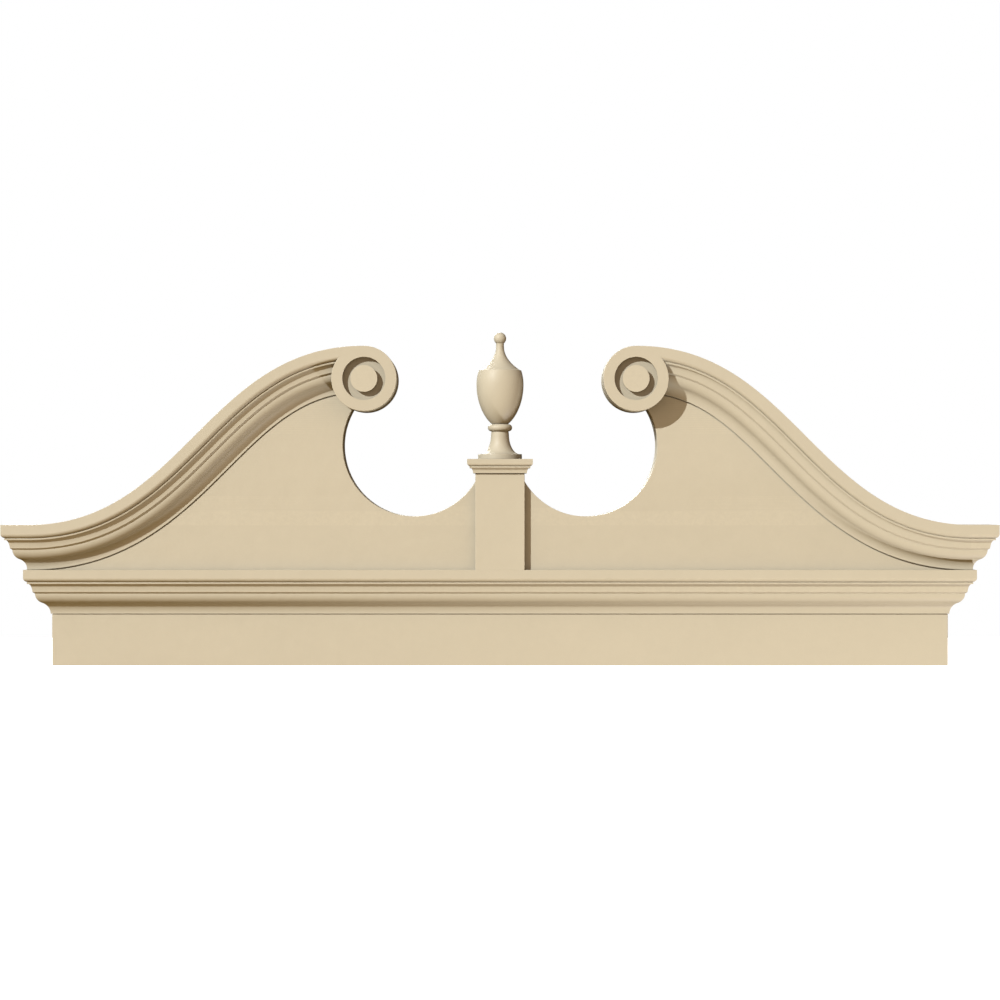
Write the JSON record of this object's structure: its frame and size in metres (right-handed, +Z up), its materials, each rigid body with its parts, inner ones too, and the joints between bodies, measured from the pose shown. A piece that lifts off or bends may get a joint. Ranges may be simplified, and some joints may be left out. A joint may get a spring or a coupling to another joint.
{
  "type": "rams head pediment",
  "caption": "Broken swan-neck pediment for the wall above a door: crown-moulded rakes end in round scrolls, with a turned urn on a plinth between them, over a cornice and frieze.",
  "frame": {"origin": "fixing point on the back of the tympanum, on the centre line, 119 mm above the top of the cornice", "axes": "+Z up, +Y out of the back into the wall, so the front faces -Y, and +X to the right of someone facing the front"},
  "size_m": [1.678, 0.1213, 0.5669],
  "materials": {
    "primer": "satin tan primer coat on moulded rigid foam, with a faint mottle"
  },
  "bodies": {
    "root": {"frieze_board": "primer", "cornice": "primer", "tympanum": "primer", "left_rake": "primer", "right_rake": "primer", "plinth_block": "primer", "plinth_cap": "primer", "urn": "primer"}
  },
  "joints": []
}
